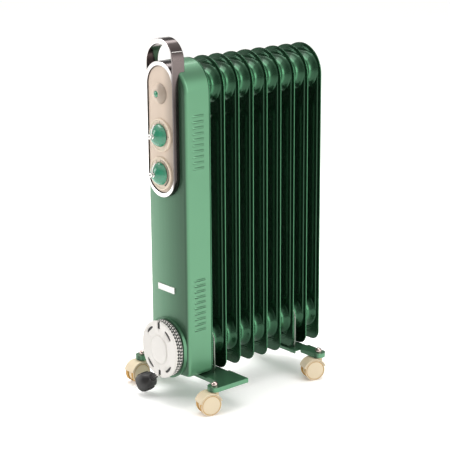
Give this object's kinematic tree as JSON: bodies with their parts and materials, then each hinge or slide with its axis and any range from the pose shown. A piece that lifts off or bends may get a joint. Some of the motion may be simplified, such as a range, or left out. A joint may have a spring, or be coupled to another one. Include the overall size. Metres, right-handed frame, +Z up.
{
  "type": "oil filled radiator heater",
  "caption": "Upright oil filled radiator on four casters, with a control housing, chromed frame with a loop handle, two rotary knobs and a cord winder.",
  "frame": {"origin": "on the floor under the middle of the heater", "axes": "+Z up, -Y towards the control housing at the front, +X to the right seen from the front"},
  "size_m": [0.2464, 0.374, 0.676],
  "materials": {
    "green_paint": "glossy enamel",
    "fin_paint": "glossy enamel",
    "chrome": "polished",
    "beige": "satin",
    "knob_green": "glossy",
    "lens": "clear",
    "white": "satin",
    "cream": "satin",
    "black": "fine grain",
    "braid": "black and white braid",
    "steel": "bright",
    "zinc": "zinc plated",
    "badge": "brushed",
    "gasket": "matt",
    "switchgear": "moulded",
    "wire": "silicone",
    "lamp": "clear"
  },
  "bodies": {
    "heater": {"badge_plate": "badge", "caster_stems": "zinc", "chrome_frame": "chrome", "cord_coil": "braid", "cord_gland": "black", "cord_tail": "braid", "dome_nuts": "chrome", "element_flange": "zinc", "element_gasket": "gasket", "fascia": "beige", "fin_0": "fin_paint", "fin_1": "fin_paint", "fin_2": "fin_paint", "fin_3": "fin_paint", "fin_4": "fin_paint", "fin_5": "fin_paint", "fin_6": "fin_paint", "fin_7": "fin_paint", "fin_8": "fin_paint", "front_cover": "green_paint", "front_foot": "green_paint", "heat_shield": "zinc", "heating_element": "steel", "indicator_dome": "beige", "indicator_lens": "lens", "neon_lamp": "lamp", "plug_body": "black", "plug_pins": "steel", "rear_foot": "green_paint", "selector_dial": "beige", "selector_switch": "switchgear", "terminal_block": "switchgear", "thermal_cutout": "zinc", "thermostat_dial": "beige", "thermostat_unit": "zinc", "tilt_switch": "switchgear", "u_bolts": "zinc", "winder_base": "green_paint", "winder_disc": "white", "winder_drum": "black", "wing_nuts": "zinc", "wiring": "wire"},
    "selector": {"selector_knob": "knob_green", "selector_pointer": "chrome", "selector_shaft": "switchgear"},
    "thermostat": {"thermostat_knob": "knob_green", "thermostat_pointer": "chrome", "thermostat_shaft": "switchgear"},
    "caster_fr": {"caster_fr_hood": "cream"},
    "wheels_fr": {"caster_fr_wheels": "cream", "caster_fr_axle": "steel"},
    "caster_fl": {"caster_fl_hood": "cream"},
    "wheels_fl": {"caster_fl_wheels": "cream", "caster_fl_axle": "steel"},
    "caster_rr": {"caster_rr_hood": "cream"},
    "wheels_rr": {"caster_rr_wheels": "cream", "caster_rr_axle": "steel"},
    "caster_rl": {"caster_rl_hood": "cream"},
    "wheels_rl": {"caster_rl_wheels": "cream", "caster_rl_axle": "steel"}
  },
  "joints": [
    {"name": "selector_turn", "type": "hinge", "parent": "heater", "child": "selector", "pos_m": [0, -0.17, 0.504], "axis": [0, 1, 0], "range_deg": [0, 110]},
    {"name": "thermostat_turn", "type": "hinge", "parent": "heater", "child": "thermostat", "pos_m": [0, -0.17, 0.4345], "axis": [0, 1, 0], "range_deg": [0, 270]},
    {"name": "caster_fr_swivel", "type": "hinge", "parent": "heater", "child": "caster_fr", "pos_m": [0.105, -0.127, 0.045], "axis": [0, 0, 1], "continuous": true},
    {"name": "caster_fr_roll", "type": "hinge", "parent": "caster_fr", "child": "wheels_fr", "pos_m": [0.10189, -0.13859, 0.02], "axis": [0.9659, -0.2588, 0], "continuous": true},
    {"name": "caster_fl_swivel", "type": "hinge", "parent": "heater", "child": "caster_fl", "pos_m": [-0.111, -0.127, 0.045], "axis": [0, 0, 1], "continuous": true},
    {"name": "caster_fl_roll", "type": "hinge", "parent": "caster_fl", "child": "wheels_fl", "pos_m": [-0.111, -0.139, 0.02], "axis": [1, 0, 0], "continuous": true},
    {"name": "caster_rr_swivel", "type": "hinge", "parent": "heater", "child": "caster_rr", "pos_m": [0.105, 0.134, 0.045], "axis": [0, 0, 1], "continuous": true},
    {"name": "caster_rr_roll", "type": "hinge", "parent": "caster_rr", "child": "wheels_rr", "pos_m": [0.1009, 0.12272, 0.02], "axis": [0.9397, -0.342, 0], "continuous": true},
    {"name": "caster_rl_swivel", "type": "hinge", "parent": "heater", "child": "caster_rl", "pos_m": [-0.111, 0.134, 0.045], "axis": [0, 0, 1], "continuous": true},
    {"name": "caster_rl_roll", "type": "hinge", "parent": "caster_rl", "child": "wheels_rl", "pos_m": [-0.10851, 0.12226, 0.02], "axis": [0.9781, 0.2079, 0], "continuous": true}
  ]
}
